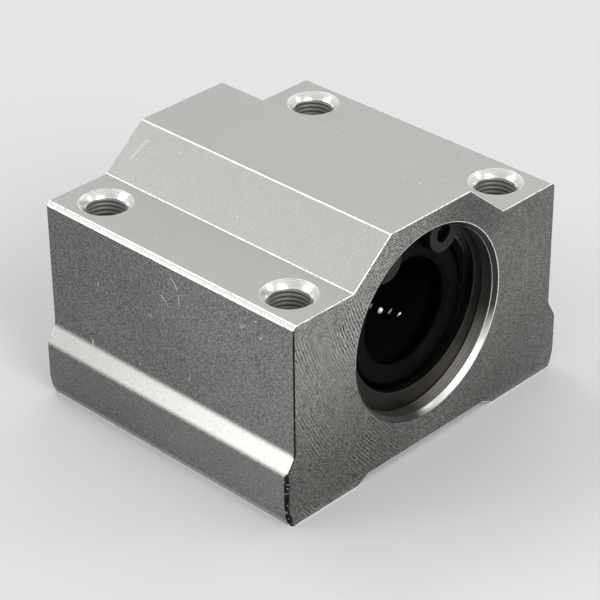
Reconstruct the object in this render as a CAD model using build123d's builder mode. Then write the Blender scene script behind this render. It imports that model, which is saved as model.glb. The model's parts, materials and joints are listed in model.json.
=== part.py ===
from build123d import *
from math import acos, cos, degrees, floor, pi, radians, sin, sqrt
import os

# Linear bearing block: an extruded aluminium pillow block with four bolt holes that
# carries one closed linear ball bearing for a 12 mm shaft, held by two bore circlips.
# Millimetres. The shaft axis is the X axis, +Z is up, and the origin is on the shaft
# axis at the middle of the block. The base lies at Z = -shaft_height.

# Housing
bearing_overhang = 3.0
base_width = 42.0
side_setback = 1.2
crown_wall = 1.98
flange_height = 23.5
shaft_height = 15.0
step_top_height = 8.5
step_bottom_height = 6.5
step_blend_radius = 1.6
flange_width = 8.45
hump_side_run = 5.35
hump_edge_radius = 0.45
hump_root_radius = 0.35
flange_edge_chamfer = 0.4
foot_width = 10.4
relief_depth = 0.8
relief_side_run = 1.5
foot_inset = 0.7
foot_rise = 2.8

# Bolt holes through the flanges
hole_end_distance = 4.65
hole_side_distance = 4.2
hole_diameter = 4.3
countersink_diameter = 5.8
countersink_angle = 90.0

# Seat for the bearing and its circlips
bearing_fit_clearance = 0.02
bore_mouth_chamfer = 0.5
circlip_groove_depth = 0.5
circlip_side_play = 0.05

# Circlip, one at each end of the bearing
circlip_thickness = 1.0
circlip_groove_clearance = 0.05
circlip_back_width = 2.5
circlip_side_width = 1.7
circlip_lug_angle = 28.0
circlip_lug_width = 4.3
circlip_lug_centre_depth = 1.87
circlip_lug_hole_diameter = 2.0
circlip_lug_root_radius = 0.4

# Bearing envelope
shaft_diameter = 12.0
bearing_section = 4.5
bearing_length = 30.0
sleeve_end_chamfer = 0.5
snap_groove_end_distance = 3.5
snap_groove_width = 1.3
snap_groove_depth = 0.5

# Ball circuits
ball_diameter = 2.381
circuit_count = 4
first_circuit_angle = -49.0
balls_per_turn = 2
ball_turn_gap = 0.03
ball_shaft_clearance = 0.01
ball_race_clearance = 0.03
return_row_lift = 0.9
return_race_clearance = 0.06
raceway_width = 2.6

# Ball cage
cage_shaft_clearance = 0.2
cage_race_clearance = 0.1
cage_track_clearance = 0.08
cage_least_end_wall = 0.95
cage_collar_width = 0.8
cage_collar_clearance = 0.05

# Side rings that hold the cage in the sleeve
side_ring_thickness = 0.8
side_ring_width = 0.9
side_ring_gap_angle = 40.0
side_ring_play = 0.05
side_groove_depth = 0.35

# Seals
seal_setback = 0.05
seal_width = 1.94
seal_fit_clearance = 0.02
seal_ring_gap = 0.1
seal_land_width = 0.4
seal_land_depth = 0.4
seal_mouth_flare = 0.5
seal_ridge_height = 2.35
seal_ridge_round = 0.5
seal_rim_height = 2.75
seal_rim_setback = 0.45
seal_groove_depth = 0.85
seal_back_relief = 0.9

# Heights, widths and hole spacing of the housing
base_z = -shaft_height
flange_z = flange_height - shaft_height
step_top_z = step_top_height - shaft_height
step_bottom_z = step_bottom_height - shaft_height
relief_z = base_z + relief_depth
block_length = bearing_length + 2 * bearing_overhang
end_x = block_length / 2
body_width = base_width - 2 * side_setback
hump_base_width = body_width - 2 * flange_width
hump_top_width = hump_base_width - 2 * hump_side_run
relief_width = base_width - 2 * foot_width
hole_spacing_x = block_length - 2 * hole_end_distance
hole_spacing_y = body_width - 2 * hole_side_distance

# Radii and places along the shaft axis, all counted from the same envelope
bearing_end = bearing_length / 2
shaft_radius = shaft_diameter / 2
sleeve_radius = shaft_radius + bearing_section
seat_radius = sleeve_radius + bearing_fit_clearance
groove_radius = seat_radius + circlip_groove_depth
circlip_inner_x = bearing_end + circlip_side_play
circlip_outer_x = circlip_inner_x + circlip_thickness
circlip_groove_end = circlip_outer_x + circlip_side_play
circlip_radius = groove_radius - circlip_groove_clearance
top_z = groove_radius + crown_wall

# Seals, side rings and cage from the ends of the bearing inwards
seal_face = bearing_end - seal_setback
seal_start = seal_face - seal_width
side_ring_end = seal_start - seal_ring_gap - side_ring_play
side_ring_start = side_ring_end - side_ring_thickness
cage_end = side_ring_start - side_ring_play

# Ball circuit: two straight rows joined by two half turns, in one plane. The pitch is
# such that the balls never touch in the turns, and a row holds what the cage has room for.
ball_radius = ball_diameter / 2
track_radius = ball_radius + cage_track_clearance
half_step = pi / (2 * balls_per_turn)
turn_radius = (ball_diameter + ball_turn_gap) / (2 * sin(half_step))
ball_pitch = pi * turn_radius / balls_per_turn
row_room = 2 * (cage_end - cage_least_end_wall - track_radius - turn_radius)
balls_per_row = floor(row_room / ball_pitch)
row_length = balls_per_row * ball_pitch
load_row_radius = shaft_radius + ball_shaft_clearance + ball_radius
return_row_radius = load_row_radius + return_row_lift
row_distance = 2 * turn_radius
row_angle = degrees(acos(
    (load_row_radius**2 + return_row_radius**2 - row_distance**2)
    / (2 * load_row_radius * return_row_radius)
))
raceway_radius = load_row_radius + ball_radius + ball_race_clearance
relief_radius = return_row_radius + ball_radius + return_race_clearance
snap_groove_radius = sleeve_radius - snap_groove_depth
snap_groove_end = bearing_end - snap_groove_end_distance

# Radii of the cage, the side rings and the seals
cage_inner_radius = shaft_radius + cage_shaft_clearance
cage_outer_radius = raceway_radius - cage_race_clearance
collar_radius = relief_radius - cage_collar_clearance
side_groove_radius = relief_radius + side_groove_depth
side_ring_radius = side_groove_radius - side_ring_play
seal_radius = relief_radius - seal_fit_clearance
land_outer = seal_face - seal_land_depth
land_inner = land_outer - seal_land_width

print("ball pitch", round(ball_pitch, 4), "turn radius", round(turn_radius, 4))
print("load row radius", round(load_row_radius, 4), "return row angle", round(row_angle, 3))


def circuit_plane(index):
    """Plane of one ball circuit: X along the shaft, Y from the load row to the return row."""
    load = radians(first_circuit_angle + index * 360 / circuit_count)
    back = load + radians(row_angle)
    load_point = Vector(0, load_row_radius * cos(load), load_row_radius * sin(load))
    back_point = Vector(0, return_row_radius * cos(back), return_row_radius * sin(back))
    across = (back_point - load_point).normalized()
    return Plane(
        origin=(load_point + back_point) / 2,
        x_dir=(1, 0, 0),
        z_dir=Vector(1, 0, 0).cross(across),
    )


def export(part, label):
    """Label a finished piece and write it."""
    part.label = label
    export_step(part, f"parts/{label}.step")


os.makedirs("parts", exist_ok=True)

# Housing: one extruded and machined aluminium piece. The section is drawn as its right
# half and mirrored.
with BuildPart() as housing:
    with BuildSketch(Plane.YZ.offset(-end_x)) as section:
        with BuildLine():
            Polyline(
                (0, relief_z),
                (relief_width / 2 - relief_side_run, relief_z),
                (relief_width / 2, base_z),
                (base_width / 2 - foot_inset, base_z),
            )
            RadiusArc(
                (base_width / 2 - foot_inset, base_z),
                (base_width / 2, base_z + foot_rise),
                -(foot_inset**2 + foot_rise**2) / (2 * foot_inset),
            )
            Polyline(
                (base_width / 2, base_z + foot_rise),
                (base_width / 2, step_bottom_z),
                (body_width / 2, step_top_z),
                (body_width / 2, flange_z),
                (hump_base_width / 2, flange_z),
                (hump_top_width / 2, top_z),
                (0, top_z),
            )
            mirror(about=Plane.YZ)
        make_face()
        step_corners = section.vertices().filter_by_position(Axis.Y, step_bottom_z, step_top_z)
        fillet(step_corners, radius=step_blend_radius)
        top_corners = section.vertices().group_by(Axis.Y)[-1]
        fillet(top_corners.filter_by(lambda v: abs(v.X) > 0.1), radius=hump_edge_radius)
        flange_corners = section.vertices().filter_by_position(Axis.Y, flange_z, flange_z)
        fillet(flange_corners.sort_by(lambda v: abs(v.X))[:2], radius=hump_root_radius)
        flange_corners = section.vertices().filter_by_position(Axis.Y, flange_z, flange_z)
        chamfer(flange_corners.sort_by(lambda v: abs(v.X))[-2:], length=flange_edge_chamfer)
    extrude(amount=block_length)

    # Bearing seat with a chamfered mouth and a circlip groove at each end
    with BuildSketch(Plane.XZ) as seat:
        with BuildLine():
            Polyline(
                (0, 0),
                (end_x, 0),
                (end_x, seat_radius + bore_mouth_chamfer),
                (end_x - bore_mouth_chamfer, seat_radius),
                (circlip_groove_end, seat_radius),
                (circlip_groove_end, groove_radius),
                (bearing_end, groove_radius),
                (bearing_end, seat_radius),
                (0, seat_radius),
                close=True,
            )
        make_face()
        mirror(about=Plane.YZ)
    revolve(axis=Axis.X, mode=Mode.SUBTRACT)

    # Bolt holes, countersunk from the flange and from the base
    with Locations(Plane.XY.offset(flange_z)):
        with GridLocations(hole_spacing_x, hole_spacing_y, 2, 2):
            CounterSinkHole(
                hole_diameter / 2, countersink_diameter / 2, counter_sink_angle=countersink_angle
            )
    with Locations(Plane(origin=(0, 0, base_z), z_dir=(0, 0, -1))):
        with GridLocations(hole_spacing_x, hole_spacing_y, 2, 2):
            CounterSinkHole(
                hole_diameter / 2, countersink_diameter / 2, counter_sink_angle=countersink_angle
            )

export(housing.part, "housing")

# Bearing sleeve: hardened outer ring with a snap groove near each end, a groove inside
# for each side ring, and one raised raceway for each load row
with BuildPart() as bearing_sleeve:
    with BuildSketch(Plane.XZ):
        with BuildLine():
            Polyline(
                (0, sleeve_radius),
                (snap_groove_end - snap_groove_width, sleeve_radius),
                (snap_groove_end - snap_groove_width, snap_groove_radius),
                (snap_groove_end, snap_groove_radius),
                (snap_groove_end, sleeve_radius),
                (bearing_end - sleeve_end_chamfer, sleeve_radius),
                (bearing_end, sleeve_radius - sleeve_end_chamfer),
                (bearing_end, relief_radius),
                (side_ring_end + side_ring_play, relief_radius),
                (side_ring_end + side_ring_play, side_groove_radius),
                (side_ring_start - side_ring_play, side_groove_radius),
                (side_ring_start - side_ring_play, relief_radius),
                (0, relief_radius),
                close=True,
            )
        make_face()
        mirror(about=Plane.YZ)
    revolve(axis=Axis.X)
    with BuildSketch(Plane.YZ.offset(-row_length / 2)):
        with PolarLocations(raceway_radius, circuit_count, first_circuit_angle):
            Rectangle(2 * (relief_radius - raceway_radius), raceway_width)
        Circle((relief_radius + snap_groove_radius) / 2, mode=Mode.INTERSECT)
        Circle(raceway_radius, mode=Mode.SUBTRACT)
    extrude(amount=row_length)

export(bearing_sleeve.part, "bearing_sleeve")

# Ball cage: a moulded tube with a racetrack channel for each circuit. The channel opens
# inwards along the load row, where the balls meet the shaft, and outwards along both
# rows. A collar at each end centres the cage in the sleeve.
with BuildPart() as ball_cage:
    with BuildSketch(Plane.XZ):
        with BuildLine():
            Polyline(
                (0, cage_inner_radius),
                (cage_end, cage_inner_radius),
                (cage_end, collar_radius),
                (cage_end - cage_collar_width, collar_radius),
                (cage_end - cage_collar_width, cage_outer_radius),
                (0, cage_outer_radius),
                close=True,
            )
        make_face()
        mirror(about=Plane.YZ)
    revolve(axis=Axis.X)
    for index in range(circuit_count):
        with BuildLine(circuit_plane(index)) as track:
            Line((0, -turn_radius), (row_length / 2, -turn_radius))
            ThreePointArc(
                (row_length / 2, -turn_radius),
                (row_length / 2 + turn_radius, 0),
                (row_length / 2, turn_radius),
            )
            Line((row_length / 2, turn_radius), (-row_length / 2, turn_radius))
            ThreePointArc(
                (-row_length / 2, turn_radius),
                (-row_length / 2 - turn_radius, 0),
                (-row_length / 2, -turn_radius),
            )
            Line((-row_length / 2, -turn_radius), (0, -turn_radius))
        with BuildSketch(Plane(origin=track.line @ 0, z_dir=track.line % 0)):
            Circle(track_radius)
        sweep(path=track.line, mode=Mode.SUBTRACT)

export(ball_cage.part, "ball_cage")


def end_plane(side):
    """Plane through the shaft axis whose X points out of the front (1) or rear (-1) end."""
    return Plane(origin=(0, 0, 0), x_dir=(side, 0, 0), z_dir=(0, -side, 0))


def make_side_ring(side, label):
    """Open ring that snaps into the sleeve and holds the cage."""
    start = side_ring_start if side > 0 else -side_ring_end
    gap = radians(side_ring_gap_angle / 2)
    reach = 2 * side_ring_radius
    with BuildPart() as ring:
        with BuildSketch(Plane.YZ.offset(start)):
            Circle(side_ring_radius)
            Circle(side_ring_radius - side_ring_width, mode=Mode.SUBTRACT)
            with BuildLine():
                Polyline(
                    (0, 0),
                    (reach * sin(gap), reach * cos(gap)),
                    (-reach * sin(gap), reach * cos(gap)),
                    close=True,
                )
            make_face(mode=Mode.SUBTRACT)
        extrude(amount=side_ring_thickness)
    export(ring.part, label)


def make_seal(side, label):
    """Rubber seal: rim in the sleeve, raised ring on its face, and a lip on the shaft."""
    ridge_radius = shaft_radius + seal_ridge_height
    rim_radius = shaft_radius + seal_rim_height
    with BuildPart() as seal:
        with BuildSketch(end_plane(side)) as profile:
            with BuildLine():
                Polyline(
                    (seal_start, seal_radius),
                    (seal_face - seal_rim_setback, seal_radius),
                    (seal_face - seal_rim_setback, rim_radius),
                    (seal_face - seal_groove_depth, rim_radius),
                    (seal_face - seal_groove_depth, ridge_radius),
                    (seal_face, ridge_radius),
                    (seal_face, shaft_radius + seal_mouth_flare),
                    (land_outer, shaft_radius),
                    (land_inner, shaft_radius),
                    (land_inner - seal_back_relief / 2, shaft_radius + seal_back_relief),
                    (seal_start, shaft_radius + seal_back_relief),
                    close=True,
                )
            make_face()
            ridge_corner = profile.vertices().filter_by_position(
                Axis.X, seal_face - 0.001, seal_face + 0.001
            ).sort_by(Axis.Y)[-1]
            fillet(ridge_corner, radius=seal_ridge_round)
        revolve(axis=Axis.X)
    export(seal.part, label)


def make_circlip(side, label):
    """Bore circlip: eccentric ring, open at the top between two drilled lugs."""
    back_radius = circlip_radius - circlip_back_width
    side_radius = circlip_radius - circlip_side_width
    inner_radius = (back_radius + side_radius**2 / back_radius) / 2
    inner_offset = (side_radius**2 / back_radius - back_radius) / 2
    lug_radius = circlip_radius - circlip_lug_centre_depth
    lug_length = circlip_radius - lug_radius + circlip_lug_width
    lug = radians(circlip_lug_angle)
    reach = 2 * circlip_radius
    start = circlip_inner_x if side > 0 else -circlip_outer_x
    with BuildPart() as circlip:
        with BuildSketch(Plane.YZ.offset(start)) as outline:
            Circle(circlip_radius)
            with Locations((0, inner_offset)):
                Circle(inner_radius, mode=Mode.SUBTRACT)
            with BuildLine():
                Polyline(
                    (0, 0),
                    (reach * sin(lug), reach * cos(lug)),
                    (-reach * sin(lug), reach * cos(lug)),
                    close=True,
                )
            make_face(mode=Mode.SUBTRACT)
            with PolarLocations(
                lug_radius + lug_length / 2, 2, 90 - circlip_lug_angle,
                2 * circlip_lug_angle, endpoint=True,
            ):
                SlotCenterToCenter(lug_length, circlip_lug_width)
            Circle(circlip_radius, mode=Mode.INTERSECT)
            root_corners = outline.vertices().filter_by(
                lambda v: sqrt(v.X**2 + v.Y**2) < circlip_radius - 0.1
                and degrees(acos(v.Y / sqrt(v.X**2 + v.Y**2))) > circlip_lug_angle
            )
            inner_corners = root_corners.sort_by(lambda v: v.X**2 + v.Y**2)[-2:]
            fillet(inner_corners, radius=circlip_lug_root_radius)
            with PolarLocations(
                lug_radius, 2, 90 - circlip_lug_angle, 2 * circlip_lug_angle, endpoint=True
            ):
                Circle(circlip_lug_hole_diameter / 2, mode=Mode.SUBTRACT)
        extrude(amount=circlip_thickness)
    export(circlip.part, label)


for side, end_name in ((1, "front"), (-1, "rear")):
    make_side_ring(side, f"side_ring_{end_name}")
    make_seal(side, f"seal_{end_name}")
    make_circlip(side, f"circlip_{end_name}")


def export_balls(index, points, label):
    """Write the balls of one stretch of a circuit, given in its plane."""
    with BuildPart(circuit_plane(index)) as balls:
        with Locations(*points):
            Sphere(ball_radius)
    export(balls.part, label)


# Balls: each circuit is a load row, a front turn, a return row and a rear turn. At rest
# the train stands half a pitch past the start of each stretch.
row_steps = [ball_pitch * (step + 0.5) - row_length / 2 for step in range(balls_per_row)]
turn_steps = [pi * (step + 0.5) / balls_per_turn - pi / 2 for step in range(balls_per_turn)]
for index in range(circuit_count):
    number = index + 1
    load_points = [(step, -turn_radius) for step in row_steps]
    return_points = [(step, turn_radius) for step in row_steps]
    front_points = [
        (row_length / 2 + turn_radius * cos(turn), turn_radius * sin(turn)) for turn in turn_steps
    ]
    rear_points = [(-x, y) for x, y in front_points]
    export_balls(index, load_points, f"load_balls_{number}")
    export_balls(index, return_points, f"return_balls_{number}")
    export_balls(index, front_points, f"front_turn_balls_{number}")
    export_balls(index, rear_points, f"rear_turn_balls_{number}")

# Turn centres, for the joints
for index in range(circuit_count):
    plane = circuit_plane(index)
    front = plane.from_local_coords((row_length / 2, 0, 0))
    rear = plane.from_local_coords((-row_length / 2, 0, 0))
    print("circuit", index + 1, "front", front, "rear", rear, "axis", plane.z_dir)
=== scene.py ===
"""Looks for a linear bearing block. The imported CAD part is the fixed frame; this script dresses
it in aluminium, steel and rubber and sets it on a pale studio floor. Everything is in metres: X
runs along the shaft, +Z is up, and the shaft axis passes through the origin."""

import json
from math import ceil, cos, radians, sin, tau

import bmesh
import bpy
from mathutils import Color, Matrix, Vector

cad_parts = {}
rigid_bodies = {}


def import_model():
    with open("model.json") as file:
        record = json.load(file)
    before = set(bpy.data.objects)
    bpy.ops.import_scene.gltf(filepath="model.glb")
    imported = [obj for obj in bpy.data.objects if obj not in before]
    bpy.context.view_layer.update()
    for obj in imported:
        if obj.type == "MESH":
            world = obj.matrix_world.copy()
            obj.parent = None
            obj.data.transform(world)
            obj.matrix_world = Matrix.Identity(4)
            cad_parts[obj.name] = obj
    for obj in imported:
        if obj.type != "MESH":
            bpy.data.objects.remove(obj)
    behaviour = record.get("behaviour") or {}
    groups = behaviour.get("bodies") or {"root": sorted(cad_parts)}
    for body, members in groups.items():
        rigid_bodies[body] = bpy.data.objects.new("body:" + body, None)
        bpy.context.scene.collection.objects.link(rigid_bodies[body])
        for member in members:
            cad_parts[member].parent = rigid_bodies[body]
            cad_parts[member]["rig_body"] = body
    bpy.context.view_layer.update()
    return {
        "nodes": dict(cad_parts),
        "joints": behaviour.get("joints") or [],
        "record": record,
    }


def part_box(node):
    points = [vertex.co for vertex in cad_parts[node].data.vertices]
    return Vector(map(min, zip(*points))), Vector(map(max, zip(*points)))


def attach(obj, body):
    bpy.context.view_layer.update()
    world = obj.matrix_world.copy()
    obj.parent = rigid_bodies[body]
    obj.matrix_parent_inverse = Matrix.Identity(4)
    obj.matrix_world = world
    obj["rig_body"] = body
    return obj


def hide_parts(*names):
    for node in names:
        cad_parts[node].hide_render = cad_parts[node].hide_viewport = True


bl_info = {
    "name": "Linear bearing block looks",
    "version": (1, 0, 0),
    "blender": (4, 5, 0),
    "location": "View3D > Sidebar > Bearing block",
    "description": "Dresses the CAD frame of a linear bearing block and sets its studio",
    "category": "Object",
}

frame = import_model()

MM = 0.001
BODY_OF = {node: shape["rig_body"] for node, shape in frame["nodes"].items()}
JOINTS = {joint["child"]: joint for joint in frame["joints"]}
BOLT_MOUNT = {mount["name"]: mount for mount in frame["record"]["mounts"]}["bolt_holes"]
BOLTS = BOLT_MOUNT["dims"]
HOLE_RADIUS = BOLTS["hole_r_mm"] * MM
HOUSING_LOW, HOUSING_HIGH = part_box("housing")

# How far the countersinks and the bore's grooves reach from the axes of their holes
COUNTERSINK_REACH = HOLE_RADIUS + 1.0 * MM
BORE_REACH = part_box("circlip_front")[1].y + 0.3 * MM

COUNTERSINK_DEPTH = 0.75 * MM
END_DEPTH = 0.3 * MM
MOUTH_DEPTH = 0.7 * MM
CLEARANCE = 0.01 * MM
MERGE_DISTANCE = 0.002 * MM
BALLS_IN_ROW, BALLS_IN_TURN = 6, 2

# Finishes of the housing, in the order of its material slots; the dark corner is painted shade, and
# the highlight line a painted highlight
(EXTRUDED, MILLED_END, BORED_SEAT, BORE_MOUTH,
 COUNTERSINK, BROKEN_EDGE, PAINTED_DARK_CORNER, PAINTED_HIGHLIGHT_LINE) = range(8)


# Settings

def length(name, default, description):
    """A size in metres."""
    return bpy.props.FloatProperty(
        name=name, description=description, default=default, unit="LENGTH", precision=5
    )


def colour(name, default, description):
    """A surface colour, in linear light."""
    return bpy.props.FloatVectorProperty(
        name=name, description=description, default=default, subtype="COLOR", min=0, max=1
    )


def fraction(name, default, description):
    """A strength between none and full."""
    return bpy.props.FloatProperty(
        name=name, description=description, default=default, subtype="FACTOR", min=0, max=1
    )


def degrees(name, default, description):
    """An angle, its default given in degrees."""
    return bpy.props.FloatProperty(
        name=name, description=description, default=radians(default), subtype="ANGLE"
    )


class BlockSizes(bpy.types.PropertyGroup):
    """Sizes of what is added to the CAD frame."""

    edge_break: length("Edge break", 0.09 * MM, "Width of the broken edges of the housing")
    corner_break: length("Corner break", 0.14 * MM, "Width of the break on its upright corners")
    foot_break: length("Filed corner", 0.24 * MM, "Width of the filed corner of the near foot")
    seat_break: length("Seat break", 0.055 * MM, "Width of the breaks inside the bore")
    hole_break: length("Hole break", 0.04 * MM, "Width of the breaks round the bolt holes")
    clip_break: length("Circlip edge", 0.12 * MM, "Rounding of the stamped circlips")
    thread_pitch: length("Thread pitch", 0.5 * MM, "Pitch of the tapped bolt holes")
    thread_crest: length("Thread crest", 4.25 * MM, "Diameter at the crests of the thread")
    thread_root: length("Thread root", 4.39 * MM, "Diameter at the roots of the thread")
    lining_diameter: length("Lining", 5.3 * MM, "Outer diameter of the tapped lining")
    grain: length("Grain", 0.105 * MM, "Grain size of the blasted extrusion")
    milling_pitch: length("Milling pitch", 0.3 * MM, "Distance between the cutter's arcs")
    turning_pitch: length("Turning pitch", 0.12 * MM, "Distance between boring marks")


class BlockColours(bpy.types.PropertyGroup):
    """Surface colours."""

    # Painted light and shade: the top and side colours are one aluminium, painted paler where it
    # looks up and darker upright
    top: colour("Top faces", (0.45, 0.455, 0.436), "Faces of the extrusion that look up")
    side: colour("Side faces", (0.185, 0.187, 0.181), "Upright faces of the extrusion")
    end: colour("End faces", (0.24, 0.243, 0.228), "Milled end faces")
    seat: colour("Bore", (0.2, 0.19, 0.17), "Bored seat and circlip grooves")
    cut: colour("Cut metal", (0.78, 0.78, 0.76), "Countersinks and broken edges")
    # Painted highlight: a brighter colour on the rounded strips along the hump
    painted_highlight: colour("Painted highlight lines", (0.64, 0.64, 0.62), "Rounded lines along the hump")
    mouth: colour("Bore mouth", (0.42, 0.42, 0.4), "Turned bevel round the mouth of the bore")
    stain: colour("Stain", (0.1, 0.06, 0.035), "Brown fleck on the near upright edge")
    # Painted shade: the upright corners and the end chamfers of the feet are painted black; the
    # same colour draws the dark marks
    corner: colour("Corners", (0.012, 0.012, 0.012), "Upright corners painted black as shade")
    thread: colour("Thread", (0.42, 0.43, 0.41), "Tapped holes")
    clip: colour("Circlips", (0.019, 0.0178, 0.0143), "Phosphated circlips")
    rubber: colour("Rubber", (0.003, 0.003, 0.0033), "Seals")
    resin: colour("Resin", (0.006, 0.006, 0.007), "Ball cage")
    steel: colour("Steel", (0.3, 0.29, 0.27), "Sleeve and side rings")
    ball: colour("Balls", (0.36, 0.36, 0.37), "Polished balls")
    floor: colour("Floor", (0.8, 0.8, 0.8), "Floor and backdrop")


class StudioSettings(bpy.types.PropertyGroup):
    """Camera and lamps."""

    azimuth: degrees("Azimuth", 44.330, "Camera's turn about the block, 0 looks along +Y")
    elevation: degrees("Elevation", 31.598, "Camera's height above the horizon")
    roll: degrees("Roll", -0.5405, "Camera's lean")
    distance: length("Distance", 255.594 * MM, "From the camera to the point it aims at")
    aim: bpy.props.FloatVectorProperty(
        name="Aim", description="Point in the middle of the picture", subtype="XYZ",
        default=(1.28 * MM, -1.758 * MM, -3.497 * MM), unit="LENGTH",
    )
    lens: bpy.props.FloatProperty(
        name="Lens", description="Focal length in millimetres on a 36 mm sensor",
        default=143.698, unit="CAMERA",
    )
    fill: fraction("Fill", 0.6, "Strength of the light from all round")
    floor_bounce: fraction("Floor bounce", 0.25, "How pale the floor is to diffuse light")


# Node trees, for shaders and geometry alike

def feed(tree, socket, value):
    """Link a socket to what feeds it, or set its value."""
    if isinstance(value, bpy.types.NodeSocket):
        tree.links.new(value, socket)
    elif value is not None:
        socket.default_value = value


def put(tree, kind, *values, settings=None, **named):
    """Add a node and feed its inputs, in order or by name."""
    node = tree.nodes.new(kind)
    for name, value in (settings or {}).items():
        setattr(node, name, value)
    for socket, value in zip(node.inputs, values):
        feed(tree, socket, value)
    for name, value in named.items():
        feed(tree, node.inputs[name.replace("_", " ")], value)
    return node


def maths(tree, operation, *values, clamp=False):
    """One step of arithmetic."""
    settings = {"operation": operation, "use_clamp": clamp}
    return put(tree, "ShaderNodeMath", *values, settings=settings).outputs[0]


def vectors(tree, operation, *values, result="Vector"):
    """One step of vector arithmetic."""
    settings = {"operation": operation}
    return put(tree, "ShaderNodeVectorMath", *values, settings=settings).outputs[result]


def scaled(tree, vector, factor):
    """A vector times a number."""
    settings = {"operation": "SCALE"}
    return put(
        tree, "ShaderNodeVectorMath", vector, settings=settings, Scale=factor
    ).outputs["Vector"]


def part_of(tree, vector, axis):
    """The X, Y or Z of a vector."""
    return put(tree, "ShaderNodeSeparateXYZ", vector).outputs[axis]


def remap(tree, value, low, high, to_low=0.0, to_high=1.0, smooth=True):
    """Bring a value from one range to another, eased and kept inside it."""
    kind = "SMOOTHSTEP" if smooth else "LINEAR"
    settings = {"interpolation_type": kind}
    return put(
        tree, "ShaderNodeMapRange", value, low, high, to_low, to_high, settings=settings
    ).outputs["Result"]


def mix(tree, mask, first, second, blend="MIX"):
    """Blend two colours by a mask."""
    node = put(tree, "ShaderNodeMix", settings={"data_type": "RGBA", "blend_type": blend})
    for place, value in ((0, mask), (6, first), (7, second)):
        feed(tree, node.inputs[place], opaque(value))
    return node.outputs[2]


def opaque(value):
    """A colour with its alpha; a socket or number stays as it is."""
    return (*value, 1.0) if isinstance(value, (tuple, Color)) and len(value) == 3 else value


def noise(tree, place, scale, detail=2.0, roughness=0.5):
    """A noise value about one half."""
    return put(
        tree, "ShaderNodeTexNoise", Vector=place, Scale=scale, Detail=detail, Roughness=roughness
    ).outputs["Fac"]


def new_group(name, inputs, outputs, kind="ShaderNodeTree"):
    """An empty node group with its sockets, each input given as (kind of socket, default)."""
    tree = bpy.data.node_groups.new(name, kind)
    for label, (socket, default) in inputs.items():
        made = tree.interface.new_socket(
            name=label, in_out="INPUT", socket_type=f"NodeSocket{socket}"
        )
        if default is not None:
            made.default_value = default
    for label, socket in outputs.items():
        tree.interface.new_socket(name=label, in_out="OUTPUT", socket_type=f"NodeSocket{socket}")
    return tree, tree.nodes.new("NodeGroupInput").outputs, tree.nodes.new("NodeGroupOutput").inputs


def use(tree, group, **named):
    """Place a shared group in a material."""
    node = tree.nodes.new("ShaderNodeGroup")
    node.node_tree = bpy.data.node_groups[group]
    for name, value in named.items():
        feed(tree, node.inputs[name.replace("_", " ")], value)
    return node.outputs


# Shared surface effects. Their places are in millimetres.

def make_grain():
    """Grain of a blasted or moulded surface, and the few grains that catch the light."""
    tree, given, out = new_group(
        "Fine grain",
        {"Vector": ("Vector", None), "Size": ("Float", 0.2)},
        {"Grain": "Float", "Glints": "Float"},
    )
    scale = maths(tree, "DIVIDE", 1.0, given["Size"])
    feed(tree, out["Grain"], remap(
        tree, noise(tree, given["Vector"], scale, 3.0, 0.7), 0.25, 0.75, smooth=False
    ))
    finer = maths(tree, "MULTIPLY", scale, 1.6)
    shifted = vectors(tree, "ADD", given["Vector"], (11.3, 4.7, 8.1))
    feed(tree, out["Glints"], remap(tree, noise(tree, shifted, finer, 1.0), 0.67, 0.78))


def make_cutter_arcs():
    """Arcs that a face cutter leaves about the middle of its sweep, across the shaft."""
    tree, given, out = new_group(
        "Cutter arcs",
        {"Vector": ("Vector", None), "Middle": ("Vector", None), "Pitch": ("Float", 0.34),
         "Waver": ("Float", 0.4)},
        {"Arcs": "Float"},
    )
    flat = vectors(tree, "MULTIPLY", given["Vector"], (0.0, 1.0, 1.0))
    reach = vectors(tree, "DISTANCE", flat, given["Middle"], result="Value")
    drift = maths(tree, "SUBTRACT", noise(tree, given["Vector"], 0.55, 2.0), 0.5)
    reach = maths(tree, "MULTIPLY_ADD", drift, given["Waver"], reach)
    turns = maths(tree, "MULTIPLY", maths(tree, "DIVIDE", reach, given["Pitch"]), tau)
    feed(tree, out["Arcs"], maths(tree, "MULTIPLY_ADD", maths(tree, "SINE", turns), 0.5, 0.5))


def make_turned_rings():
    """Uneven rings that a boring or countersinking tool leaves along its axis."""
    tree, given, out = new_group(
        "Turned rings",
        {"Along": ("Float", 0.0), "Pitch": ("Float", 0.12)},
        {"Rings": "Float"},
    )
    rings = put(
        tree, "ShaderNodeTexNoise", settings={"noise_dimensions": "1D"},
        W=maths(tree, "DIVIDE", given["Along"], given["Pitch"]), Scale=1.0, Detail=2.0,
    ).outputs["Fac"]
    feed(tree, out["Rings"], remap(tree, rings, 0.25, 0.75, smooth=False))


def make_specks():
    """Scattered specks of one size, such as dust or pits."""
    tree, given, out = new_group(
        "Specks",
        {"Vector": ("Vector", None), "Spacing": ("Float", 2.0), "Size": ("Float", 0.1),
         "Share": ("Float", 0.4)},
        {"Specks": "Float"},
    )
    cells = put(
        tree, "ShaderNodeTexVoronoi", Vector=given["Vector"],
        Scale=maths(tree, "DIVIDE", 1.0, given["Spacing"]),
    )
    reach = maths(tree, "MULTIPLY", cells.outputs["Distance"], given["Spacing"])
    core = maths(tree, "MULTIPLY", given["Size"], 0.55)
    near = remap(tree, reach, core, given["Size"], 1.0, 0.0)
    draw = put(tree, "ShaderNodeSeparateColor", cells.outputs["Color"]).outputs[0]
    kept = maths(tree, "LESS_THAN", draw, given["Share"])
    feed(tree, out["Specks"], maths(tree, "MULTIPLY", near, kept))


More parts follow.
